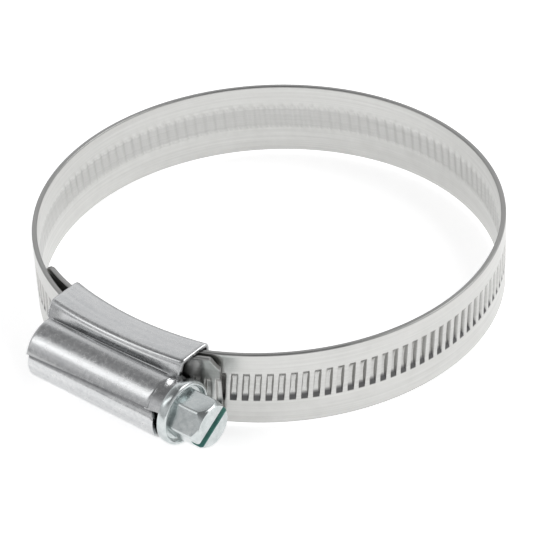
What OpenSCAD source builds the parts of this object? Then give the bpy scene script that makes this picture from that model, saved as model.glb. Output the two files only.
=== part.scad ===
// Worm-drive hose clamp, fully open: one pressed band, one wrapped housing and one worm screw.
// The ring axis is Z, with the origin at its middle. The housing is on the -Y side, and the
// screw lies along X with its head towards +X. All sizes are in millimetres.

/* [Band] */
// Width of the band
band_w = 13; // [12:0.5:14]
// Thickness of the band
band_t = 0.85; // [0.7:0.05:0.9]
// Outer radius of the open ring
ring_r = 38.05; // [37.8:0.05:38.2]
// Chamfer along the band's edges
edge_c = 0.15; // [0.05:0.05:0.25]

/* [Worm grooves] */
// Distance from one groove to the next along the tail's outer face
lead = 1.8; // [1.7:0.05:1.9]
// Width of a groove
groove_w = 1.0; // [0.9:0.05:1.1]
// Length of a groove across the band
groove_l = 5; // [4.6:0.1:5.5]
// Depth of a groove
groove_d = 0.45; // [0.4:0.05:0.5]

/* [Tail] */
// Outer radius of the stiff tail that the screw drives
tail_r = 39.3; // [39.2:0.05:39.4]
// Grooves between the screw's middle and the tail's inner end
grooves_in = 28; // [26:1:28]
// Grooves between the screw's middle and the tongue's nose
grooves_out = 10; // [9:1:10]

/* [Ring links] */
// Number of links that stand for the flexible band
link_n = 24; // [24:1:24]
// Grooves pressed into each link
link_grooves = 4; // [1:1:4]
// Gap left between two links
link_gap = 0.04; // [0.02:0.01:0.08]

/* [Housing] */
// Thickness of the folded sheet
sheet_t = 0.7; // [0.6:0.05:0.7]
// Radius of the saddle's inner face
saddle_r = 55.8; // [55.7:0.05:55.9]
// Radial depth of the saddle
saddle_d = 6.1; // [6:0.05:6.2]
// Gap between the saddle's plates and the band's edges
side_gap = 0.1; // [0.1:0.05:0.2]
// Length of the saddle along the screw
saddle_l = 26.5; // [26:0.5:27]
// Outer radius of the barrel
barrel_r = 5; // [4.9:0.05:5.1]
// Wall of the barrel
barrel_t = 0.8; // [0.7:0.05:0.9]

/* [Screw] */
// Distance of the screw's axis from the ring's axis
screw_y = 41.7; // [41.65:0.05:41.8]
// Height of the screw's axis above the band's middle
screw_z = 0.4; // [0.2:0.1:0.5]
// Radius over the worm thread
thread_r = 3; // [2.95:0.05:3]
// Radius of the thread's root
core_r = 2.35; // [2.2:0.05:2.4]
// Radius of the plain neck that turns in the housing
neck_r = 2.55; // [2.45:0.05:2.57]
// Radius of the collar
collar_r = 5.15; // [5:0.05:5.3]
// Size of the hexagon across its flats
hex_af = 7; // [7:0.1:7]
// Width of the driver slot
slot_w = 1.2; // [1:0.1:1.6]
// Depth of the driver slot
slot_d = 1.7; // [1:0.1:2]

/* [Hidden] */

$fn = 96;
eps = 0.01;
zinc = [0.74, 0.75, 0.76];
zinc_band = [0.8, 0.8, 0.81];
zinc_screw = [0.7, 0.76, 0.76];

ring_in = ring_r - band_t;
tail_in = tail_r - band_t;
// The tail's arc touches the ring's arc from inside at this direction, seen from the ring's axis
touch_a = 193;
tail_off = tail_r - ring_r;
tail_c = [-tail_off * cos(touch_a), -tail_off * sin(touch_a)];
pitch_a = lead / tail_r * 180 / PI;
drive_a = 270;
tail_start = drive_a - (grooves_in + 0.5) * pitch_a;
tail_end = drive_a + (grooves_out + 0.14) * pitch_a;
lean_a = atan(lead / (2 * PI * thread_r));

// The ring runs clockwise from the tail's inner end to the housing's right mouth
mouth_a = -66;
link_a = (tail_start - mouth_a) / link_n;

saddle_x = 2;
saddle_c = [saddle_x, 21.35];
saddle_out = saddle_r + saddle_d;
wall_out = saddle_r + sheet_t;
saddle_x0 = saddle_x - saddle_l / 2;
saddle_x1 = saddle_x + saddle_l / 2;
plate_z = band_w / 2 + side_gap + sheet_t;
channel_z = band_w / 2 + side_gap;
corner_r = 1.1;
web_z = 3.8;
layer_r = wall_out + 0.3;

barrel_x0 = -10.2;
barrel_x1 = 14.6;
neck_x1 = 16.2;
neck_out = 4.4;
bore_r = barrel_r - barrel_t;
journal_r = neck_r + 0.06;
lip_t = 0.7;
lip_r = 3.2;

collar_x0 = 16.3;
collar_x1 = 17.95;
head_x1 = 23.1;
head_bevel = 1.15;
head_r = 3.35;
dish_d = 0.55;
dish_r = 4.55;
slot_turn = -31;
hex_turn = -1;
thread_x0 = -8.6;
thread_x1 = 13.6;
screw_x0 = -9.4;
crest_w = 0.4;
root_w = 0.9;
thread_sink = 0.1;
thread_seg = 20;

// A link's name carries its number in two digits
function link_name(i) = str("ring_link_", i < 10 ? "0" : "", i);

function link_start(i) = tail_start - i * link_a;

// Section of the band with its long edges broken, from its inner face outwards
module band_section(r_in, t = band_t) {
    h = band_w / 2;
    polygon([[r_in + edge_c, -h], [r_in + t - edge_c, -h], [r_in + t, -h + edge_c],
             [r_in + t, h - edge_c], [r_in + t - edge_c, h], [r_in + edge_c, h],
             [r_in, h - edge_c], [r_in, -h + edge_c]]);
}

// Length of band bent to a radius about a centre, between two directions
module band_arc(centre, r_in, a0, a1) {
    translate(centre)
        rotate([0, 0, a0])
            rotate_extrude(angle = a1 - a0)
                band_section(r_in);
}

// Block that presses one leaning groove into the outer face at direction a, level with the screw's axis
module groove(centre, r_out, a) {
    translate(centre)
        rotate([0, 0, a])
            translate([r_out, 0, screw_z])
                rotate([-lean_a, 0, 0])
                    cube([2 * groove_d, groove_w, groove_l], center = true);
}

// Block that clips a corner off the band's end at direction a, with side -1 or 1. It stands
// past the band's edge, so that only its flat face meets the band.
module corner_clip(centre, r_in, a, side, cut) {
    past = 1;
    half = cut + past / sqrt(2);
    translate(centre)
        rotate([0, 0, a])
            translate([r_in - 1, 0, side * (band_w / 2 + past)])
                rotate([side * 45, 0, 0])
                    translate([0, -half, -half])
                        cube([band_t + 2, 2 * half, 2 * half]);
}

// Rectangle with round corners, as plain squares and circles
module round_rect(x0, x1, y0, y1, r) {
    translate([x0 + r, y0])
        square([x1 - x0 - 2 * r, y1 - y0]);
    translate([x0, y0 + r])
        square([x1 - x0, y1 - y0 - 2 * r]);
    for (x = [x0 + r, x1 - r], y = [y0 + r, y1 - r])
        translate([x, y])
            circle(r, $fn = 48);
}

// Cylinder along the screw's axis between two X positions
module along_screw(x0, x1, r0, r1) {
    translate([x0, -screw_y, screw_z])
        rotate([0, 90, 0])
            cylinder(h = x1 - x0, r1 = r0, r2 = r1);
}

// Folded saddle: a round-cornered tube of sheet bent to the saddle's arc, open to the barrel
module saddle() {
    intersection() {
        translate(saddle_c)
            rotate([0, 0, 250])
                rotate_extrude(angle = 40, $fn = 180)
                    difference() {
                        round_rect(saddle_r, saddle_out, -plate_z, plate_z, corner_r);
                        round_rect(wall_out, saddle_out - sheet_t, -channel_z, channel_z,
                                   corner_r - sheet_t);
                        translate([saddle_out - 2 * sheet_t, -web_z])
                            square([4 * sheet_t, 2 * web_z]);
                    }
        translate([saddle_x0, -60, -plate_z - 1])
            cube([saddle_l, 60, 2 * plate_z + 2]);
    }
}

// Rolled barrel with a lipped far end and a swaged neck behind the screw's collar
module barrel() {
    lap_a = 18;
    lap_step = 0.3;
    difference() {
        union() {
            along_screw(barrel_x0, barrel_x1, barrel_r, barrel_r);
            along_screw(barrel_x1 - eps, neck_x1, neck_out, neck_out);
        }
        along_screw(barrel_x0 + lip_t, barrel_x1 - lip_t, bore_r, bore_r);
        along_screw(barrel_x0 - 1, barrel_x0 + lip_t + eps, lip_r, lip_r);
        along_screw(barrel_x1 - lip_t - eps, neck_x1 + 1, journal_r, journal_r);
        // The upper flap ends here, a step proud of the lower flap
        translate([barrel_x0 - 1, -screw_y, screw_z])
            rotate([-lap_a, 0, 0])
                translate([0, -barrel_r - 1, -1.2])
                    cube([barrel_x1 - barrel_x0 + 2, 1 + lap_step, 1.2]);
        // Room for the band on the ring's side; the cut ends inside the saddle's sheet
        translate([saddle_c[0], saddle_c[1], -2 * barrel_r])
            cylinder(r = saddle_out - sheet_t / 2, h = 4 * barrel_r, $fn = 180);
    }
}

// The whole housing is one sheet of steel
module housing() {
    color(zinc)
        difference() {
            union() {
                saddle();
                barrel();
            }
            along_screw(barrel_x0 + lip_t, barrel_x1 - lip_t, bore_r, bore_r);
        }
}

// Fixed end of the band: it lies on the saddle's inner wall, and its tip sticks out to the left
module fixed_end() {
    inner_a = 269;
    leave_a = 256.8;
    tip_r = 40.5;
    tip_turn = 12.6;
    tip_c = saddle_c + (layer_r - tip_r) * [cos(leave_a), sin(leave_a)];
    tip_cut = 1;
    color(zinc_band)
        difference() {
            union() {
                band_arc(saddle_c, layer_r, leave_a - eps, inner_a);
                band_arc(tip_c, tip_r, leave_a - tip_turn, leave_a);
            }
            for (side = [-1, 1])
                corner_clip(tip_c, tip_r, leave_a - tip_turn, side, tip_cut);
        }
}

// Tail: the free end of the band, with the stretch of it that the screw pulls through
module band_tail() {
    nose_cut = 1.3;
    color(zinc_band)
        difference() {
            band_arc(tail_c, tail_in, tail_start, tail_end);
            for (k = [-grooves_in : grooves_out])
                groove(tail_c, tail_r, drive_a + k * pitch_a);
            for (side = [-1, 1])
                corner_clip(tail_c, tail_in, tail_end, side, nose_cut);
        }
}

// One link of the ring, with its share of the grooves
module ring_link(i) {
    gap_a = link_gap / 2 / ring_in * 180 / PI;
    a0 = link_start(i);
    a1 = link_start(i - 1);
    color(zinc_band)
        difference() {
            band_arc([0, 0], ring_in, a0 + gap_a, a1 - gap_a);
            for (k = [1 : link_grooves])
                groove([0, 0], ring_r, a0 + (k - 0.5) * link_a / link_grooves);
        }
}

// Last link: it slides in the saddle, between the wall and the tail
module entry_link() {
    hinge = ring_in * [cos(mouth_a), sin(mouth_a)] - saddle_c;
    hinge_a = atan2(hinge[1], hinge[0]) + 360;
    inner_a = 271.2;
    color(zinc_band)
        band_arc(saddle_c, layer_r + 0.05, inner_a, hinge_a - 0.04);
}

// Points of the worm thread's section at one step of its sweep
function thread_step(i, last) =
    let (x = thread_x0 + (thread_x1 - thread_x0) * i / last,
         turn = 360 * (x - tail_c[0]) / lead,
         fade = min(1, min(i, last - i) / (thread_seg / 2)),
         tip = core_r + (thread_r - core_r) * fade,
         root = core_r - thread_sink)
    [for (p = [[-root_w / 2, root], [-crest_w / 2, tip], [crest_w / 2, tip], [root_w / 2, root]])
        [x + p[0], p[1] * cos(turn), p[1] * sin(turn)]];

// Right-hand worm thread, swept in straight steps
module worm_thread() {
    last = round((thread_x1 - thread_x0) / lead * thread_seg);
    points = [for (i = [0 : last]) each thread_step(i, last)];
    sides = [for (i = [0 : last - 1], j = [0 : 3])
                each [[4 * i + j, 4 * i + (j + 1) % 4, 4 * i + 4 + j],
                      [4 * i + (j + 1) % 4, 4 * i + 4 + (j + 1) % 4, 4 * i + 4 + j]]];
    ends = [[3, 2, 1, 0], [4 * last, 4 * last + 1, 4 * last + 2, 4 * last + 3]];
    translate([0, -screw_y, screw_z])
        polyhedron(points, concat(sides, ends));
}

// Hexagon with a round chamfered end, standing on the dished collar
module screw_head() {
    hex_r = hex_af / 2 / cos(30);
    intersection() {
        translate([collar_x0 + 0.4, -screw_y, screw_z])
            rotate([0, 90, 0])
                rotate([0, 0, 90 + hex_turn])
                    cylinder(h = head_x1 - collar_x0 - 0.4, r = hex_r, $fn = 6);
        union() {
            along_screw(collar_x0, head_x1 - head_bevel + eps, hex_r + 0.1, hex_r + 0.1);
            along_screw(head_x1 - head_bevel, head_x1, hex_r + 0.02, head_r);
        }
    }
}

// Worm screw with its collar, hexagon and driver slot, in one piece
module worm_screw() {
    color(zinc_screw)
        difference() {
            union() {
                along_screw(screw_x0, thread_x1 + 0.2, core_r, core_r);
                along_screw(thread_x1 + 0.1, collar_x0 + eps, neck_r, neck_r);
                worm_thread();
                difference() {
                    along_screw(collar_x0, collar_x1, collar_r, collar_r);
                    along_screw(collar_x1 - dish_d, collar_x1 + eps, dish_r - dish_d, dish_r);
                }
                screw_head();
            }
            translate([head_x1, -screw_y, screw_z])
                rotate([-slot_turn, 0, 0])
                    cube([2 * slot_d, 4 * head_r, slot_w], center = true);
        }
}

housing();
fixed_end();
worm_screw();
band_tail();
for (i = [1 : link_n])
    ring_link(i);
entry_link();
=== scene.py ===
"""Looks of a worm-drive hose clamp: pressed zinc band, wrapped housing and worm screw.

Shapes are worked out in millimetres and scaled to metres when a mesh is made.
"""

import math

import bmesh
import bpy
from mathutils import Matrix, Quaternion, Vector


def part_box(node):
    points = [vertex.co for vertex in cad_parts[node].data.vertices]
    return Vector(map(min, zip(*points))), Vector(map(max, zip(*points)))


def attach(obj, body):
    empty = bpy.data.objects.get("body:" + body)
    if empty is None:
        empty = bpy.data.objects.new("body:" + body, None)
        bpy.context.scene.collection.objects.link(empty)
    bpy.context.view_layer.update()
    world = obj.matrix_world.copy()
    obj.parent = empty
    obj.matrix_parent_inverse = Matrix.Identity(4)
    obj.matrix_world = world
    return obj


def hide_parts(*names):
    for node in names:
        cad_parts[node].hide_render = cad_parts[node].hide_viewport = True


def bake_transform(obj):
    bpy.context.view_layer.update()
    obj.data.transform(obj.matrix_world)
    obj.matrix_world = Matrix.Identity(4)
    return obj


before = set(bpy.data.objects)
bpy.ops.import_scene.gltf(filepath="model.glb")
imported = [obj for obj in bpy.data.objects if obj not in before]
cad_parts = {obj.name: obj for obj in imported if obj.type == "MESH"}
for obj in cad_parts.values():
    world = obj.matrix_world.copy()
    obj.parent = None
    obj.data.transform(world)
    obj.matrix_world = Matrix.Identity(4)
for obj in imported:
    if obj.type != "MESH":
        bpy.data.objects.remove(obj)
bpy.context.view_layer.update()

MM = 0.001
# UV length of a millimetre, and of a degree round the screw's head and round its core
UV_MM = 0.01
UV_HEAD_TURN = 0.0008
UV_CORE_TURN = 0.0004

# Band, in millimetres
BAND_H = 6.5
BAND_T = 0.85
EDGE_R = 0.22
RING_IN = 37.2
TAIL_IN = 38.45
TOUCH_A = 193
LEAD = 1.8
GROOVES_IN = 28
GROOVES_OUT = 10
LINK_N = 24
LINK_GROOVES = 4
MOUTH_A = -66
MOUTH_BEND_R = 20
SADDLE_C = (2, 21.35)
ENTRY_IN = 56.85
ENTRY_END_A = -88.8
LEAN = math.tan(math.radians(5.45))

# Housing and screw, in millimetres
SHEET_T = 0.7
SADDLE_IN = 55.8
SADDLE_OUT = 61.9
SADDLE_X = (-11.25, 15.25)
PLATE_Z = 7.3
AXIS_O = 41.7
AXIS_Z = 0.4
BARREL_R = 5
BARREL_X = (-10.2, 14.6)
NECK_R = 4.4
NECK_X = 16.2
COLLAR_X = (16.3, 17.95)
COLLAR_R = 5.15
HEAD_X = 23.1
HEX_AF = 7
HEX_TURN = -1
SLOT_TURN = -31


# ---------------------------------------------------------------- helpers

def smooth(t):
    """0 below 0, 1 above 1 and a smooth step between them."""
    t = min(1, max(0, t))
    return t * t * (3 - 2 * t)


def lerp(a, b, t):
    return a + (b - a) * t


def ramp(x, table):
    """Straight-line interpolation in a list of (x, value) pairs."""
    if x <= table[0][0]:
        return table[0][1]
    for (x0, v0), (x1, v1) in zip(table, table[1:]):
        if x <= x1:
            return lerp(v0, v1, (x - x0) / (x1 - x0))
    return table[-1][1]


def direction(degrees):
    return (math.cos(math.radians(degrees)), math.sin(math.radians(degrees)))


def make_mesh(name, verts, faces, uvs, material, sharp=35, grime_and_shade=None):
    """Mesh object from points in millimetres, with smooth shading up to an angle and one UV per vertex.

    The darkening values, from 0 to 1 at each vertex, darken the material: the band's darker edges, and
    painted shade in recesses, creases and shaded places.
    """
    mesh = bpy.data.meshes.new(name)
    mesh.from_pydata([(x * MM, y * MM, z * MM) for x, y, z in verts], [], faces)
    if uvs:
        layer = mesh.uv_layers.new(name="surface")
        loops = [0] * len(mesh.loops)
        mesh.loops.foreach_get("vertex_index", loops)
        layer.data.foreach_set("uv", [c for v in loops for c in uvs[v]])
    if grime_and_shade:
        layer = mesh.attributes.new("grime_and_shade", "FLOAT", "POINT")
        layer.data.foreach_set("value", grime_and_shade)
    obj = bpy.data.objects.new(name, mesh)
    bpy.context.scene.collection.objects.link(obj)
    tidy = bmesh.new()
    tidy.from_mesh(mesh)
    bmesh.ops.recalc_face_normals(tidy, faces=tidy.faces)
    tidy.to_mesh(mesh)
    tidy.free()
    mesh.shade_smooth()
    mesh.set_sharp_from_angle(angle=math.radians(sharp))
    mesh.materials.append(material)
    return obj


def loft(loops, closed_caps=True):
    """Points and faces of a tube through loops of equal length, with its two ends capped."""
    n = len(loops[0])
    verts = [p for loop in loops for p in loop]
    faces = []
    for i in range(len(loops) - 1):
        for j in range(n):
            k = (j + 1) % n
            faces.append((i * n + j, i * n + k, (i + 1) * n + k, (i + 1) * n + j))
    if closed_caps:
        faces.append(tuple(range(n - 1, -1, -1)))
        faces.append(tuple(range((len(loops) - 1) * n, len(loops) * n)))
    return verts, faces


# ---------------------------------------------------------------- materials

def node_material(name, colour, metallic):
    """Material with a Principled shader whose plain values sit on its own sockets."""
    material = bpy.data.materials.new(name)
    material.use_nodes = True
    shader = material.node_tree.nodes["Principled BSDF"]
    shader.inputs["Base Color"].default_value = (*colour, 1)
    shader.inputs["Metallic"].default_value = metallic
    return material, material.node_tree.nodes, material.node_tree.links, shader


def add(nodes, kind, **values):
    """New node with its properties set; keys that name a socket by number set that socket."""
    node = nodes.new(kind)
    for key, value in values.items():
        if key.startswith("in_"):
            node.inputs[int(key[3:])].default_value = value
        else:
            setattr(node, key, value)
    return node


def mixed(nodes, links, factor, dark, light):
    """Colour between two colours by a factor socket."""
    mix = add(nodes, "ShaderNodeMix", data_type="RGBA")
    links.new(factor, mix.inputs[0])
    mix.inputs[6].default_value = (*dark, 1)
    mix.inputs[7].default_value = (*light, 1)
    return mix


def noise(nodes, links, vector, scale, detail=3, roughness=0.5):
    texture = add(nodes, "ShaderNodeTexNoise", in_2=scale, in_3=detail, in_4=roughness)
    links.new(vector, texture.inputs["Vector"])
    return texture.outputs["Fac"]


def stretched(nodes, links, vector, scale):
    mapping = add(nodes, "ShaderNodeMapping", in_3=scale)
    links.new(vector, mapping.inputs["Vector"])
    return mapping.outputs["Vector"]


def spread(nodes, links, value, low, high, to_low, to_high):
    """Value between low and high carried over to another range."""
    node = add(nodes, "ShaderNodeMapRange", in_1=low, in_2=high, in_3=to_low, in_4=to_high)
    links.new(value, node.inputs["Value"])
    return node.outputs["Result"]


def zinc(name, dark, light, rough, streak, blotch, bump, line_share):
    """Zinc-plated steel: cloudy plating, fine rolling lines along U, and a soft uneven surface.

    rough is the range of roughness; streak and blotch are how many per millimetre. The mesh's
    darkening attribute darkens it: the band's darker edges, and painted shade in grooves, creases and shaded
    places.
    """
    material, nodes, links, shader = node_material(name, light, 1)
    uv = add(nodes, "ShaderNodeUVMap", uv_map="surface").outputs["UV"]
    place = add(nodes, "ShaderNodeTexCoord").outputs["Object"]
    per_mm = (streak[0] / UV_MM, streak[1] / UV_MM, 1)
    lines = noise(nodes, links, stretched(nodes, links, uv, per_mm), 1, 4, 0.6)
    clouds = noise(nodes, links, place, blotch / MM, 5, 0.62)
    grain = noise(nodes, links, place, 7 * blotch / MM, 2, 0.5)
    cover = add(nodes, "ShaderNodeMath", operation="MULTIPLY_ADD", in_1=line_share)
    links.new(spread(nodes, links, lines, 0.3, 0.7, 0, 1), cover.inputs[0])
    links.new(spread(nodes, links, clouds, 0.3, 0.7, 0, 1 - line_share), cover.inputs[2])
    tone = mixed(nodes, links, cover.outputs[0], dark, light)
    # Near-black mixed in by the darkening attribute: painted shade in recesses and shaded places, and the
    # band's darker edges
    dirt_and_shade = add(nodes, "ShaderNodeAttribute", attribute_name="grime_and_shade")
    dirty_and_shaded = add(nodes, "ShaderNodeMix", data_type="RGBA")
    links.new(dirt_and_shade.outputs["Fac"], dirty_and_shaded.inputs[0])
    links.new(tone.outputs[2], dirty_and_shaded.inputs[6])
    dirty_and_shaded.inputs[7].default_value = (0.035, 0.035, 0.04, 1)
    links.new(dirty_and_shaded.outputs[2], shader.inputs["Base Color"])
    links.new(spread(nodes, links, clouds, 0.35, 0.65, *rough), shader.inputs["Roughness"])
    height = add(nodes, "ShaderNodeMath", operation="MULTIPLY_ADD", in_1=0.6)
    links.new(lines, height.inputs[0])
    links.new(grain, height.inputs[2])
    relief = add(nodes, "ShaderNodeBump", in_0=bump, in_1=0.00003)
    links.new(height.outputs[0], relief.inputs["Height"])
    links.new(relief.outputs["Normal"], shader.inputs["Normal"])
    return material


band_zinc = zinc("band_zinc", (0.52, 0.52, 0.505), (0.66, 0.66, 0.645), rough=(0.28, 0.38),
                 streak=(0.04, 2.6), blotch=0.3, bump=0.2, line_share=0.6)
housing_zinc = zinc("housing_zinc", (0.50, 0.51, 0.52), (0.72, 0.725, 0.725), rough=(0.18, 0.28),
                    streak=(0.1, 1.6), blotch=1.4, bump=0.1, line_share=0.4)
screw_zinc = zinc("screw_zinc", (0.48, 0.52, 0.52), (0.68, 0.71, 0.71), rough=(0.16, 0.26),
                  streak=(0.5, 0.5), blotch=0.9, bump=0.1, line_share=0.3)
# The slot keeps the blue-green of its passivation
slot_zinc = zinc("slot_zinc", (0.08, 0.22, 0.22), (0.2, 0.45, 0.38), rough=(0.3, 0.4),
                 streak=(0.3, 0.3), blotch=0.6, bump=0.1, line_share=0.3)
slot_zinc.node_tree.nodes["Principled BSDF"].inputs["Metallic"].default_value = 0.35


# ---------------------------------------------------------------- path of the band

def circle_meet(c0, r0, c1, r1, side):
    """Where two circles meet; side picks one of the two points."""
    dx, dy = c1[0] - c0[0], c1[1] - c0[1]
    d = math.hypot(dx, dy)
    along = (r0 * r0 - r1 * r1 + d * d) / (2 * d)
    across = math.sqrt(r0 * r0 - along * along) * side
    return (c0[0] + (along * dx - across * dy) / d, c0[1] + (along * dy + across * dx) / d)


def heading(point, centre):
    return math.degrees(math.atan2(point[1] - centre[1], point[0] - centre[0]))


class Path:
    """Arcs joined end to end, all run clockwise: (centre, inner radius, first and last outward angle).

    A length along the path is measured on the band's outer face.
    """

    def __init__(self, arcs):
        self.parts = []
        s = 0
        for centre, r_in, a0, a1 in arcs:
            length = math.radians(a0 - a1) * (r_in + BAND_T)
            self.parts.append((s, centre, r_in, a0))
            s += length
        self.length = s

    def point(self, s, height, z):
        """Point at a length s, at a height above the band's inner face."""
        started = [part for part in self.parts if s >= part[0]]
        s0, centre, r_in, a0 = started[-1] if started else self.parts[0]
        a = a0 - math.degrees((s - s0) / (r_in + BAND_T))
        c, n = direction(a)
        r = r_in + height
        return (centre[0] + r * c, centre[1] + r * n, z)

    def length_at(self, part, a):
        s0, _, r_in, a0 = self.parts[part]
        return s0 + math.radians(a0 - a) * (r_in + BAND_T)


tail_r = TAIL_IN + BAND_T
ring_r = RING_IN + BAND_T
pitch_a = math.degrees(LEAD / tail_r)
tail_start = 270 - (GROOVES_IN + 0.5) * pitch_a
tail_end = 270 + (GROOVES_OUT + 0.14) * pitch_a
touch = direction(TOUCH_A)
tail_c = (-(tail_r - ring_r) * touch[0], -(tail_r - ring_r) * touch[1])
link_a = (tail_start - MOUTH_A) / LINK_N
bend_c = circle_meet((0, 0), RING_IN - MOUTH_BEND_R, SADDLE_C, ENTRY_IN - MOUTH_BEND_R, 1)
if bend_c[1] > 0:
    bend_c = circle_meet((0, 0), RING_IN - MOUTH_BEND_R, SADDLE_C, ENTRY_IN - MOUTH_BEND_R, -1)
bend_a0 = heading(bend_c, (0, 0))
bend_a1 = heading(bend_c, SADDLE_C)
band_path = Path([
    (tail_c, TAIL_IN, tail_end, tail_start),
    ((0, 0), RING_IN, tail_start, bend_a0),
    (bend_c, MOUTH_BEND_R, bend_a0, bend_a1),
    (SADDLE_C, ENTRY_IN, bend_a1, ENTRY_END_A),
])

# Middles of the grooves, as lengths along the path, from the tongue's nose onwards
tail_grooves = [band_path.length_at(0, 270 + k * pitch_a)
                for k in range(GROOVES_OUT, -GROOVES_IN - 1, -1)]
ring_grooves = [band_path.length_at(1, tail_start - (k + 0.5) * link_a / LINK_GROOVES)
                for k in range(LINK_N * LINK_GROOVES)]
grooves = tail_grooves + ring_grooves


# ---------------------------------------------------------------- band section and grooves

GROOVE_D = 0.72
GROOVE_HALF = 0.54
GROOVE_Z = 0.4
BUMP_RING = 0.2
BUMP_TAIL = 0.08
# Flat band between two rows of points, where there are no grooves
FLAT_STEP = 0.9
# Half width from which the band's corners are drawn in where they are clipped
CLIP_FROM = 3.1
TONGUE_CLIP = 1.84
TIP_CLIP = 1.4
# Length of the tail from its hinge to the saddle's far mouth
PAST_SADDLE = 36

# How much the plating is darkened, from 0 to 1: the edges' darker tone, painted shade at the grooves' ends
# and walls and on the tongue where the housing and the screw's head shade it, and a darker inner hollow
EDGE_GRIME = 0.4
# Painted shade at the grooves' low and high ends and along their side walls
LOW_END_SHADE = 0.75
HIGH_END_SHADE = 0.25
WALL_SHADE = 0.55
HOLLOW_DARKENING = 0.17
# Painted shade on the tongue near and inside the housing
TONGUE_SHADE = 0.5

# Depth across the band, as a share of the groove's depth, against the distance from its middle
OUTER_ROWS = [0, 0.5, 1, 1.4, 1.75, 2.02, 2.28, 2.48, 2.56, 2.64, 3, 3.7, 4.6, 5.5]
INNER_ROWS = [0, 0.9, 1.6, 2, 2.3, 2.6, 2.9, 3.3, 4.6, 5.5]
OUTER_END = [(0.5, 1), (1, 0.985), (1.4, 0.94), (1.75, 0.84), (2.02, 0.6), (2.28, 0.31), (2.48, 0.09),
             (2.56, 0.02), (2.64, 0)]
INNER_END = [(1.6, 1), (2, 0.9), (2.3, 0.62), (2.6, 0.3), (2.9, 0.1), (3.3, 0)]


def both_sides(rows):
    """Rows on both sides of the grooves' middle, and the two where the band's rounded edges start."""
    edge = BAND_H - EDGE_R
    return [-edge] + [GROOVE_Z - z for z in reversed(rows[1:])] + [GROOVE_Z + z for z in rows] + [edge]


def groove_columns(z):
    """Across a groove: (distance from its middle, share of its depth, share of the bump inside)."""
    wall = 0.09 + 0.14 * max(0, 1 - ((z - GROOVE_Z) / 2.2) ** 2)
    floor = GROOVE_HALF - wall
    half = [(0.12, 1), (floor - 0.06, 1), (floor, 0.97), (floor + 0.03, 0.86), (GROOVE_HALF - 0.03, 0.15),
            (GROOVE_HALF + 0.02, 0.03), (GROOVE_HALF + 0.08, 0)]
    half = [(q, d, math.cos(math.pi * q / LEAD) ** 2) for q, d in half]
    return [(-q, d, b) for q, d, b in reversed(half)] + half


def groove_shade(z, share):
    """Painted shade in a groove: darker at its sheared ends and along the walls at its sides."""
    away = abs(z - GROOVE_Z)
    ends = smooth((away - 1.5) / 0.5) * smooth((2.62 - away) / 0.1) * smooth(share / 0.4)
    walls = smooth((away - 2.3) / -1.2) * math.exp(-((share - 0.5) / 0.3) ** 2)
    end_shade = LOW_END_SHADE if z < GROOVE_Z else HIGH_END_SHADE
    return end_shade * ends + WALL_SHADE * walls * (1 - ends)


COLUMNS = len(groove_columns(0))


def rounded_edge(side, height, angles):
    """Points round one corner of the band's section, about a centre at a height, on one side of z."""
    points = []
    for c, s in map(direction, angles):
        points.append((side * (BAND_H - EDGE_R) + EDGE_R * s, "edge", height + EDGE_R * c))
    return points


def section_points():
    """One loop round the band's section: (z, place, height), with place 'out', 'in' or 'edge'.

    Only the edges have a height of their own here; the grooves set that of the faces.
    """
    points = [(z, "out", 0) for z in both_sides(OUTER_ROWS)]
    points += rounded_edge(1, BAND_T - EDGE_R, (30, 60, 90))
    points += rounded_edge(1, EDGE_R, (90, 120, 150))
    points += [(z, "in", 0) for z in reversed(both_sides(INNER_ROWS))]
    points += rounded_edge(-1, EDGE_R, (210, 240, 270))
    points += rounded_edge(-1, BAND_T - EDGE_R, (270, 300, 330))
    return points


SECTION = section_points()


def drawn_in(z, half):
    """z where the band's corners are clipped down to a half width."""
    if abs(z) <= CLIP_FROM:
        return z
    return math.copysign(CLIP_FROM + (abs(z) - CLIP_FROM) * (half - CLIP_FROM) / (BAND_H - CLIP_FROM), z)


def band_column(path, column, nose=None, clip=0, bump=BUMP_RING):
    """One loop of the band's loft, with its UVs and its darkening: painted shade in the grooves, the edges'
    darker tone and a darker inner hollow.

    column is (groove's middle, column number), or (length, None) on flat band. nose is the length
    at which the band ends square and clip is how much is cut off its corners there.
    """
    base, number = column
    loop, uvs, grime_and_shade = [], [], []
    for z, place, height in SECTION:
        q = depth = share = 0
        if number is not None:
            q, depth, share = groove_columns(z)[number]
        # The inner face is duller between two scalloped lines
        scallop = 2.35 - 0.35 * math.cos(math.pi * q / LEAD) ** 2
        hollow = HOLLOW_DARKENING * smooth((scallop - abs(z - GROOVE_Z)) / 0.4)
        # Painted shade in the grooves on the outer face, a darker inner hollow, and the edges' darker tone
        grime_and_shade.append({"out": groove_shade(z, depth), "in": hollow, "edge": EDGE_GRIME}[place])
        s = base + q
        lean = LEAN
        if nose is not None:
            lean *= smooth(abs(s - nose) / 3)
        if place == "out":
            height = BAND_T - GROOVE_D * depth * ramp(abs(z - GROOVE_Z), OUTER_END)
        elif place == "in":
            height = -bump * share * ramp(abs(z - GROOVE_Z), INNER_END)
        if clip:
            z = drawn_in(z, min(BAND_H, BAND_H - clip + abs(s - nose)))
        s = s - z * lean
        loop.append(path.point(s, height, z))
        uvs.append((s * UV_MM, z * UV_MM))
    return loop, uvs, grime_and_shade


def groove_run(middles):
    """Columns of neighbouring grooves, with a flat one halfway between each two."""
    columns = []
    for i, middle in enumerate(middles):
        if i > 0:
            columns.append(((middles[i - 1] + middle) / 2, None))
        columns += [(middle, number) for number in range(COLUMNS)]
    return columns


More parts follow.
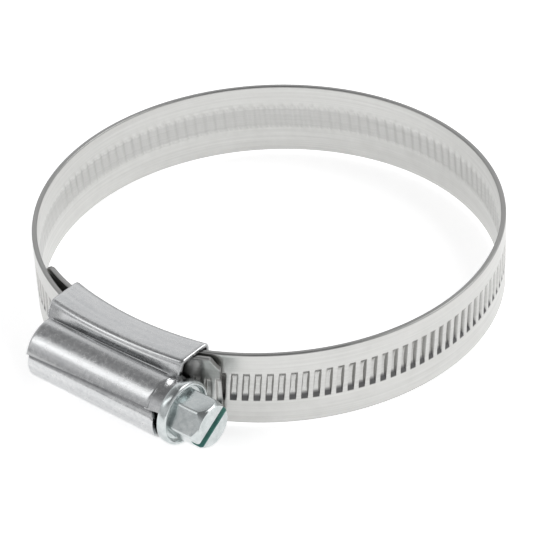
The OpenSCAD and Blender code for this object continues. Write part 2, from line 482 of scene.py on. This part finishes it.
def band_mesh(name, path, s0, s1, nose=None, clip=0, bumps=None):
    """Band between two lengths.

    With bumps, a function of the length, it has the grooves whose middles lie between them.
    """
    inside = [g for g in grooves if s0 - GROOVE_HALF < g < s1] if bumps else []
    if inside:
        columns = [(s0, None)] + groove_run(inside)
        reach = inside[-1] + GROOVE_HALF
        while s1 - reach > FLAT_STEP + 0.5:
            reach += FLAT_STEP
            columns.append((reach, None))
        columns.append((s1, None))
    else:
        steps = max(2, math.ceil((s1 - s0) / FLAT_STEP))
        columns = [(lerp(s0, s1, i / steps), None) for i in range(steps + 1)]
    loops, uvs, grime_and_shade = [], [], []
    for column in columns:
        bump = bumps(column[0]) if bumps else BUMP_RING
        loop, uv, dark = band_column(path, column, nose, clip, bump)
        loops.append(loop)
        uvs += uv
        grime_and_shade += dark
    verts, faces = loft(loops)
    return make_mesh(name, verts, faces, uvs, band_zinc, sharp=40, grime_and_shade=grime_and_shade)


def nose_mesh(name, path, s1, clip):
    """The tongue: like band_mesh, but its first groove is cut off by the nose."""
    run = groove_run([g for g in grooves if g <= s1])
    run.append((s1, None))
    # The end face: the profile of the first groove, moved to the nose
    end = []
    for z, place, height in SECTION:
        if place == "out":
            height = BAND_T - GROOVE_D * ramp(abs(z - GROOVE_Z), OUTER_END)
        end.append(path.point(0, height, drawn_in(z, BAND_H - clip)))
    loops = [end]
    uvs = [(0, z * UV_MM) for _, _, z in end]
    grime_and_shade = [EDGE_GRIME] * len(end)
    for base, number in run:
        if number is not None and base + groove_columns(0)[number][0] <= 0.02:
            continue
        loop, uv, dark = band_column(path, (base, number), 0, clip, BUMP_TAIL)
        loops.append(loop)
        uvs += uv
        # Painted shade from just behind the nose to the saddle's far mouth, where the housing and the
        # screw's head shade the tongue
        tongue_shade = TONGUE_SHADE * smooth((base - 1) / 5) * smooth((s1 - PAST_SADDLE - base) / 5)
        grime_and_shade += [max(d, tongue_shade) for d in dark]
    verts, faces = loft(loops)
    return make_mesh(name, verts, faces, uvs, band_zinc, sharp=40, grime_and_shade=grime_and_shade)


ring_lengths = [band_path.length_at(1, tail_start - (i + 0.5) * link_a) for i in range(LINK_N)]
tail_split = (tail_grooves[-3] + tail_grooves[-2]) / 2
entry_split = band_path.length_at(3, (bend_a1 + ENTRY_END_A) / 2)
splits = [tail_split] + ring_lengths + [entry_split]

tail_piece = nose_mesh("band_tongue", band_path, tail_split, TONGUE_CLIP)
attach(tail_piece, "tail")
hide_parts("band_tail")


def bump_height(s):
    """The bumps inside fade on the tail, which slides over the ring, and at the housing's mouth."""
    if s < tail_grooves[-1]:
        return BUMP_TAIL
    return BUMP_RING * smooth((ring_grooves[-2] - s) / (3 * LEAD))


# Each piece of band runs from the middle of one ring link to the middle of the next, across the joint
# between them; the ring links are hidden
for i in range(LINK_N + 1):
    piece = band_mesh(f"band_ring_{i + 1:02d}", band_path, splits[i], splits[i + 1], bumps=bump_height)
    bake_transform(piece)
    if i < LINK_N:
        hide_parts(f"ring_link_{i + 1:02d}")

entry_piece = band_mesh("band_entry", band_path, entry_split, band_path.length)
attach(entry_piece, "entry")
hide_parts("entry_link")

# Fixed end: it lies on the saddle's wall and its tip sticks out to the left
FIXED_IN = 56.8
LEAVE_A = 256.8
TIP_R = 40.5
TIP_TURN = 12.6
leave = direction(LEAVE_A)
tip_c = (SADDLE_C[0] + (FIXED_IN - TIP_R) * leave[0], SADDLE_C[1] + (FIXED_IN - TIP_R) * leave[1])
fixed_path = Path([(SADDLE_C, FIXED_IN, 269, LEAVE_A), (tip_c, TIP_R, LEAVE_A, LEAVE_A - TIP_TURN)])
fixed_piece = band_mesh("band_fixed_end", fixed_path, 0, fixed_path.length, fixed_path.length, TIP_CLIP)
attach(fixed_piece, "housing")
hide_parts("fixed_end")


# ---------------------------------------------------------------- housing

def fillet(corner, before, after, radius, steps):
    """Points of an arc that rounds a corner between two straight runs."""
    v0, v1 = Vector(before) - Vector(corner), Vector(after) - Vector(corner)
    turn = v0.angle(v1)
    reach = min(radius / math.tan(turn / 2), v0.length * 0.49, v1.length * 0.49)
    p0, p2 = Vector(corner) + v0.normalized() * reach, Vector(corner) + v1.normalized() * reach
    points = []
    for i in range(steps + 1):
        t = i / steps
        # A quadratic curve is close enough to an arc at this size
        p = p0 * (1 - t) ** 2 + Vector(corner) * 2 * t * (1 - t) + p2 * t ** 2
        points.append((p.x, p.y))
    return points


def saddle_o(radius, x):
    """Distance from the ring's axis, along -Y, of a point on a saddle arc."""
    return math.sqrt(radius ** 2 - (x - SADDLE_C[0]) ** 2) - SADDLE_C[1]


def on_barrel(r, a):
    c, s = direction(a)
    return (AXIS_O + r * c, AXIS_Z + r * s)


# Radius of the barrel's upper and lower flap against the angle from the -Y side
UPPER_R = [(18, 5.2), (40, 5.1), (65, 5.0), (110, 5.0)]
LOWER_R = [(-100, 5.0), (-70, 5.02), (-48, 5.14), (-30, 5.18), (-14, 5.04), (0, 4.86), (9, 4.66),
           (16, 4.42), (44, 4.3)]
UPPER_STEPS = 30
LOWER_STEPS = 56
WALL_STEPS = 8
CORNER_STEPS = 7
PLATE_STEPS = 6
# Angles round the barrel: where its flaps turn into the web, and the lap seam at the far end, how far
# it climbs along the screw and how far the lower flap runs on under the upper one
FLAP_A = 97
LAP_A = 16.5
LAP_RISE = 10.2
LAP_COVER = 22
VALLEY_FILLET = 0.3
TOP_FILLET = 1.15
LOW_FILLET = 0.7
WALL_FILLET = 1.1
# Painted shade over the sheet's inner face, inside the housing
INSIDE_SHADE = 0.85


def flap(first, last, steps, table):
    """Points of one of the barrel's flaps between two angles."""
    angles = [lerp(first, last, i / steps) for i in range(steps + 1)]
    return [on_barrel(ramp(a, table), a) for a in angles]


def plate(first, last, z):
    """Points of a flat plate of the saddle, between two distances from the ring's axis."""
    return [(lerp(first, last, i / PLATE_STEPS), z) for i in range(1, PLATE_STEPS)]


def section_of_housing(x):
    """Outer face of the sheet at one place along the screw, from the upper flap's edge to the lower's."""
    share = (x - BARREL_X[0]) / (BARREL_X[1] - BARREL_X[0])
    lap = LAP_A + LAP_RISE * share
    web_o = saddle_o(SADDLE_OUT, x)
    wall_o = saddle_o(SADDLE_IN, x)
    valley = (lerp(40.75, 40.15, share), lerp(4.86, 4.72, share))
    low_valley = (lerp(40.75, 40.15, share), -4.05)
    dimple = 0.3 * math.exp(-((x - 13.6) / 0.45) ** 2)
    path = flap(lap, FLAP_A, UPPER_STEPS, UPPER_R)
    top = path[-1]
    corner, inner = (web_o, PLATE_Z), (wall_o, PLATE_Z)
    path += fillet(valley, top, corner, VALLEY_FILLET, CORNER_STEPS)
    path.append((lerp(valley[0], corner[0], 0.3) - dimple, lerp(valley[1], corner[1], 0.3)))
    path += fillet(corner, valley, inner, TOP_FILLET, CORNER_STEPS)
    path += plate(web_o - TOP_FILLET, wall_o + WALL_FILLET, PLATE_Z)
    path += fillet(inner, corner, (wall_o, 0), WALL_FILLET, CORNER_STEPS)
    path += [(wall_o, lerp(6.2, -6.2, i / WALL_STEPS)) for i in range(1, WALL_STEPS)]
    corner, inner = (web_o, -PLATE_Z), (wall_o, -PLATE_Z)
    path += fillet(inner, (wall_o, 0), corner, WALL_FILLET, CORNER_STEPS)
    path += plate(wall_o + WALL_FILLET, web_o - LOW_FILLET, -PLATE_Z)
    path += fillet(corner, inner, low_valley, LOW_FILLET, CORNER_STEPS)
    path += fillet(low_valley, corner, on_barrel(BARREL_R, -FLAP_A), VALLEY_FILLET, CORNER_STEPS)
    return path + flap(-FLAP_A, lap + LAP_COVER, LOWER_STEPS, LOWER_R)


def housing_shade(index):
    """Painted shade along the crease, at the edge of the lap seam and in the web's corners."""
    lower_start = len(SAMPLE) - LOWER_STEPS - 1
    if index <= UPPER_STEPS:
        a = lerp(20, FLAP_A, index / UPPER_STEPS)
        # Painted shade along the upper flap's edge at the lap seam and towards the crease
        seam = 0.3 * smooth((22.5 - a) / 2) + 0.24 * smooth((36 - a) / 14)
        return seam + 0.28 * smooth((a - 88) / 7)
    if index >= lower_start:
        a = lerp(-FLAP_A, 42, (index - lower_start) / LOWER_STEPS)
        # Painted shadow on the lower flap where it runs under the upper one
        return 0.7 * smooth((a - 8) / 8)
    from_flap = index - UPPER_STEPS - 1
    # Painted shade in the valley's fillet, fading up the web
    if from_flap <= CORNER_STEPS:
        return 0.32
    return 0.2 * smooth((CORNER_STEPS + 5 - from_flap) / 4)


def inward(path):
    """Unit normals of the path that point into the sheet."""
    normals = []
    for i in range(len(path)):
        a, b = path[max(0, i - 1)], path[min(len(path) - 1, i + 1)]
        dx, dy = b[0] - a[0], b[1] - a[1]
        d = math.hypot(dx, dy)
        normals.append((-dy / d, dx / d))
    return normals


SAMPLE = section_of_housing(2)


def housing_ends(index):
    """First and last X of the sheet at a point of the section."""
    lower_start = len(SAMPLE) - LOWER_STEPS - 1
    if index <= UPPER_STEPS:
        a = lerp(21, FLAP_A, index / UPPER_STEPS)
        return BARREL_X[0], 14.25 + 0.5 * smooth((a - 66) / 26)
    if index >= lower_start:
        a = lerp(-FLAP_A, 43, (index - lower_start) / LOWER_STEPS)
        return BARREL_X[0], 14.6 + 0.7 * smooth((a + 70) / 40) * smooth((20 - a) / 20)
    from_barrel = min(index - UPPER_STEPS, lower_start - index)
    t = smooth((from_barrel - 2) / (CORNER_STEPS + 1))
    return lerp(BARREL_X[0] - 0.1, SADDLE_X[0], t), lerp(14.75, SADDLE_X[1], t)


def housing_mesh():
    """The folded sheet, lofted along the screw, with its cut edges slightly broken."""
    stations = [0, 0.004, 0.012] + [i / 40 for i in range(1, 40)] + [0.988, 0.996, 1]
    breaks = {0: 0.1, 1: 0.03, len(stations) - 2: 0.03, len(stations) - 1: 0.1}
    ends = [housing_ends(i) for i in range(len(SAMPLE))]
    walk = [0]
    for a, b in zip(SAMPLE, SAMPLE[1:]):
        walk.append(walk[-1] + math.hypot(b[0] - a[0], b[1] - a[1]))
    loops, uvs, grime_and_shade = [], [], []
    outer_shades = [housing_shade(i) for i in range(len(SAMPLE))]
    for k, u in enumerate(stations):
        outer, inner = [], []
        sections = {}
        for i, (x0, x1) in enumerate(ends):
            x = lerp(x0, x1, u)
            key = round(x, 4)
            if key not in sections:
                path = section_of_housing(x)
                sections[key] = (path, inward(path))
            path, normals = sections[key]
            (o, z), (n0, n1) = path[i], normals[i]
            cut = breaks.get(k, 0)
            outer.append((x, -(o + n0 * cut), z + n1 * cut))
            thick = SHEET_T - cut * 0.7
            inner.append((x, -(o + n0 * thick), z + n1 * thick))
            uvs.append((x * UV_MM, walk[i] * UV_MM))
        uvs += [(x * UV_MM, w * UV_MM) for (x, _, _), w in zip(reversed(inner), reversed(walk))]
        # Painted shade on the outer face's crease, seam and web corners, and over the whole inner face
        grime_and_shade += outer_shades + [INSIDE_SHADE] * len(inner)
        loops.append(outer + inner[::-1])
    verts, faces = loft(loops, closed_caps=False)
    n, m = len(loops[0]), len(SAMPLE)
    for base in (0, (len(loops) - 1) * n):
        for i in range(m - 1):
            faces.append((base + i, base + i + 1, base + n - 2 - i, base + n - 1 - i))
    return make_mesh("housing_sheet", verts, faces, uvs, housing_zinc, sharp=38, grime_and_shade=grime_and_shade)


def turned(name, profile, material, gap=None, steps=96):
    """Solid turned about the screw's axis. profile is a closed outline of (x, radius) points;
    gap is (first, last) angle in degrees that is left open."""
    a0, a1 = (gap[1], gap[0] + 360) if gap else (0, 360)
    count = steps + 1 if gap else steps
    loops, uvs = [], []
    for i in range(count):
        a = lerp(a0, a1, i / steps)
        loops.append([(x, -on_barrel(r, a)[0], on_barrel(r, a)[1]) for x, r in profile])
        uvs += [(x * UV_MM, a * UV_HEAD_TURN) for x, r in profile]
    if gap:
        verts, faces = loft(loops)
    else:
        verts, faces = loft(loops, closed_caps=False)
        n, last = len(profile), (count - 1) * len(profile)
        faces += [(last + j, last + (j + 1) % n, (j + 1) % n, j) for j in range(n)]
    return make_mesh(name, verts, faces, uvs, material, sharp=38)


housing_piece = housing_mesh()
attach(housing_piece, "housing")
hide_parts("housing")

neck = turned("housing_neck", [
    (13.4, 3.3), (16.0, 3.3), (16.15, 3.38), (NECK_X, 3.55), (NECK_X, 4.2), (16.15, 4.34), (16.0, NECK_R),
    (15.5, NECK_R + 0.06), (15.1, NECK_R + 0.22), (14.7, NECK_R + 0.42), (14.3, NECK_R + 0.53),
    (13.8, NECK_R + 0.55), (13.6, NECK_R + 0.5)], housing_zinc, gap=(-62, 24))
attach(neck, "housing")

lip = turned("housing_end_lip", [
    (-9.95, 3.3), (-9.85, 3.2), (-9.45, 3.2), (-9.35, 3.3), (-9.35, 4.28), (-9.95, 4.28)],
    housing_zinc)
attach(lip, "housing")


# ---------------------------------------------------------------- worm screw

CORE_R = 2.35
THREAD_R = 3
SHANK_R = 2.55
THREAD_X = (-8.6, 13.6)
CORE_X0 = -9.4
CONE_LENGTH = 1.15
CONE_END_R = 3.35
SLOT_HALF = 0.6
SLOT_MOUTH = 0.68
SLOT_DEPTH = 1.7


def thread_mesh():
    """Core, worm thread and plain neck as one surface round the screw's axis."""
    around, along = 60, 12
    x0, x1 = CORE_X0, COLLAR_X[0] + 0.1
    profile = [(0, 0), (0.12, 0.1), (0.2, 0.65), (0.3, 0.95), (0.38, 1), (0.62, 1), (0.7, 0.95), (0.8, 0.65),
               (0.88, 0.1), (1, 0)]
    stations = []
    x = x0
    while x < x1:
        stations.append(x)
        x += LEAD / along
    stations.append(x1)
    loops, uvs = [], []
    for x in stations:
        loop = []
        for i in range(around):
            a = 360 * i / around
            turn = ((x - tail_c[0]) / LEAD - a / 360 + 0.5) % 1
            fade = smooth((x - THREAD_X[0]) / 1.2) * smooth((THREAD_X[1] - x) / 1.2)
            r = CORE_R + (THREAD_R - CORE_R) * ramp(turn, profile) * fade
            r = lerp(r, SHANK_R, smooth((x - THREAD_X[1]) / 0.3))
            r = r - 0.3 * smooth((x0 + 0.3 - x) / 0.3)
            c, s = direction(a)
            loop.append((x, -(AXIS_O - r * c), AXIS_Z + r * s))
            uvs.append((a * UV_CORE_TURN, x * UV_MM))
        loops.append(loop)
    verts, faces = loft(loops)
    return make_mesh("screw_thread", verts, faces, uvs, screw_zinc, sharp=50)


def head_mesh():
    """Dished collar and hexagon as one turned surface, with the driver slot cut into its end."""
    apothem, corner_r = HEX_AF / 2, HEX_AF / 2 / math.cos(math.pi / 6)
    cone_x, end_r = HEAD_X - CONE_LENGTH, CONE_END_R
    # Close together at the hexagon's corners, where off is 0
    angles = []
    for k in range(6):
        base = 60 * k + HEX_TURN + 180
        for off in (-29, -22, -15, -9, -5, -3, -2, -1.2, -0.6, 0, 0.6, 1.2, 2, 3, 5, 9, 15, 22, 29):
            angles.append((base + off, abs(off)))
    x0, x1 = COLLAR_X
    rim = [(x0, 0.4), (x0, 3), (x0, 4.85), (x0 + 0.06, 5), (x0 + 0.16, 5.11), (x0 + 0.3, COLLAR_R),
           (x1 - 0.42, COLLAR_R), (x1 - 0.24, 5.1), (x1 - 0.1, 4.98), (x1 - 0.02, 4.84), (x1, 4.72),
           (x1 - 0.05, 4.6), (x1 - 0.2, 4.5), (x1 - 0.42, 4.42), (x1 - 0.62, 4.37)]
    loops, uvs = [], []
    for base, off in angles:
        a = math.radians(30 - off)
        hex_r = apothem / math.cos(a)
        hex_r -= 0.09 * math.exp(-(off / 1.6) ** 2)
        # The cone meets the flats in a curve, so each angle has its own place for that edge
        meet = HEAD_X - (HEAD_X - cone_x) * (hex_r - end_r) / (corner_r - end_r)
        meet = min(meet, HEAD_X - 0.06)
        profile = list(rim)
        profile += [(x1 - 0.72, 4.27), (x1 - 0.72, hex_r + 0.12), (x1 - 0.62, hex_r + 0.04),
                    (x1 - 0.46, hex_r), (19.2, hex_r), (20.8, hex_r), (meet - 0.16, hex_r),
                    (meet - 0.05, hex_r - 0.012)]
        slope = (hex_r - end_r) / max(HEAD_X - meet, 0.06)
        profile += [(meet + 0.05, hex_r - 0.05 * slope - 0.02), (HEAD_X - 0.05, end_r + 0.05 * slope * 0.6),
                    (HEAD_X - 0.01, end_r - 0.06), (HEAD_X, end_r - 0.2), (HEAD_X, 2), (HEAD_X, 0.4)]
        loops.append([(x, -on_barrel(r, base)[0], on_barrel(r, base)[1]) for x, r in profile])
        uvs += [(base * UV_HEAD_TURN, x * UV_MM) for x, r in profile]
    n, count = len(loops[0]), len(loops)
    verts = [p for loop in loops for p in loop]
    faces = []
    for i in range(count):
        k = (i + 1) % count
        faces += [(i * n + j, k * n + j, k * n + j + 1, i * n + j + 1) for j in range(n - 1)]
    faces.append(tuple(i * n for i in range(count)))
    faces.append(tuple(i * n + n - 1 for i in reversed(range(count))))
    head = make_mesh("screw_head", verts, faces, uvs, screw_zinc, sharp=30)
    bottom_x = HEAD_X - SLOT_DEPTH
    outline = [(HEAD_X + 0.3, SLOT_MOUTH + 0.19), (HEAD_X - 0.11, SLOT_HALF),
               (bottom_x + 0.1, SLOT_HALF - 0.01), (bottom_x, SLOT_HALF - 0.12)]
    outline += [(x, -w) for x, w in reversed(outline)]
    c, s = direction(SLOT_TURN)
    loops = [[(x, -(AXIS_O + t * c - w * s), AXIS_Z + t * s + w * c) for x, w in outline] for t in (-6, 6)]
    verts, faces = loft(loops)
    cutter = make_mesh("slot_cutter", verts, faces, [(0, 0)] * len(verts), slot_zinc)
    cut = head.modifiers.new("slot", "BOOLEAN")
    cut.operation, cut.object = "DIFFERENCE", cutter
    cut.solver, cut.material_mode = "EXACT", "TRANSFER"
    bpy.context.view_layer.update()
    shaped = bpy.data.meshes.new_from_object(head.evaluated_get(bpy.context.evaluated_depsgraph_get()))
    head.modifiers.clear()
    head.data = shaped
    bpy.data.objects.remove(cutter)
    shaped.set_sharp_from_angle(angle=math.radians(30))
    return head


for piece in (thread_mesh(), head_mesh()):
    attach(piece, "screw")
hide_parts("worm_screw")


# ---------------------------------------------------------------- camera, light and floor

AZIMUTH = 40.9
ELEVATION = 35.49
DISTANCE = 0.4254
LENS = 176.96
ROLL = -2.89
a, e = math.radians(AZIMUTH), math.radians(ELEVATION)
back = Vector((math.sin(a) * math.cos(e), -math.cos(a) * math.cos(e), math.sin(e)))
camera_data = bpy.data.cameras.new("camera")
camera_data.lens = LENS
camera_data.sensor_width = 36
camera_data.shift_x = -0.0077
camera_data.shift_y = -0.0445
camera_data.clip_start, camera_data.clip_end = 0.01, 10
camera = bpy.data.objects.new("camera", camera_data)
camera.location = back * DISTANCE
camera.rotation_mode = "QUATERNION"
camera.rotation_quaternion = (-back).to_track_quat("-Z", "Y") @ Quaternion((0, 0, 1), math.radians(ROLL))
bpy.context.scene.collection.objects.link(camera)
bpy.context.scene.camera = camera

floor_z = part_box("housing")[0].z
floor_size = 3
floor_mesh = bpy.data.meshes.new("floor")
floor_corners = [(x * floor_size, y * floor_size, floor_z) for x, y in ((-1, -1), (1, -1), (1, 1), (-1, 1))]
floor_mesh.from_pydata(floor_corners, [], [(0, 1, 2, 3)])
floor = bpy.data.objects.new("floor", floor_mesh)
bpy.context.scene.collection.objects.link(floor)
floor_paint, _, _, floor_shader = node_material("floor_paint", (0.93, 0.93, 0.93), 0)
floor_shader.inputs["Roughness"].default_value = 0.9
floor_shader.inputs["Specular IOR Level"].default_value = 0.1
floor_shader.inputs["Emission Color"].default_value = (1, 1, 1, 1)
floor_shader.inputs["Emission Strength"].default_value = 0.58
floor_mesh.materials.append(floor_paint)


def softbox(name, azimuth, elevation, distance, size, power):
    """Area light that points at the object; azimuth 0 is in front of it, on the -Y side."""
    light = bpy.data.lights.new(name, "AREA")
    light.shape, light.size, light.size_y = "RECTANGLE", size[0], size[1]
    light.energy = power
    lamp = bpy.data.objects.new(name, light)
    a, e = math.radians(azimuth), math.radians(elevation)
    way = Vector((math.sin(a) * math.cos(e), -math.cos(a) * math.cos(e), math.sin(e)))
    lamp.location = way * distance
    lamp.rotation_mode = "QUATERNION"
    lamp.rotation_quaternion = (-way).to_track_quat("-Z", "Y")
    bpy.context.scene.collection.objects.link(lamp)


softbox("key", 150, 50, 1.0, (0.6, 0.6), 3.2)
softbox("strip", -45, 46, 0.9, (0.2, 0.6), 0.5)
softbox("rear", 221, 36, 1.0, (0.9, 0.4), 0.33)
softbox("second_strip", -122, 52, 0.9, (0.03, 0.6), 0.03)

world = bpy.data.worlds.new("studio")
world.use_nodes = True
sky_nodes, sky_links = world.node_tree.nodes, world.node_tree.links
height = add(sky_nodes, "ShaderNodeSeparateXYZ")
sky_links.new(add(sky_nodes, "ShaderNodeTexCoord").outputs["Generated"], height.inputs[0])
shades = add(sky_nodes, "ShaderNodeValToRGB")
# A bright band round the studio's walls and a darker ceiling
stops = [(0, 0.5), (0.2, 0.62), (0.35, 0.72), (0.6, 0.66), (0.76, 0.34), (0.92, 0.2)]
ramp_points = shades.color_ramp.elements
while len(ramp_points) < len(stops):
    ramp_points.new(0.5)
for point, (place, value) in zip(ramp_points, stops):
    point.position = place
    point.color = (value, value, value * 1.01, 1)
sky_links.new(height.outputs["Z"], shades.inputs["Fac"])
sky_links.new(shades.outputs["Color"], sky_nodes["Background"].inputs["Color"])
bpy.context.scene.world = world
bpy.context.scene.view_settings.view_transform = "Standard"
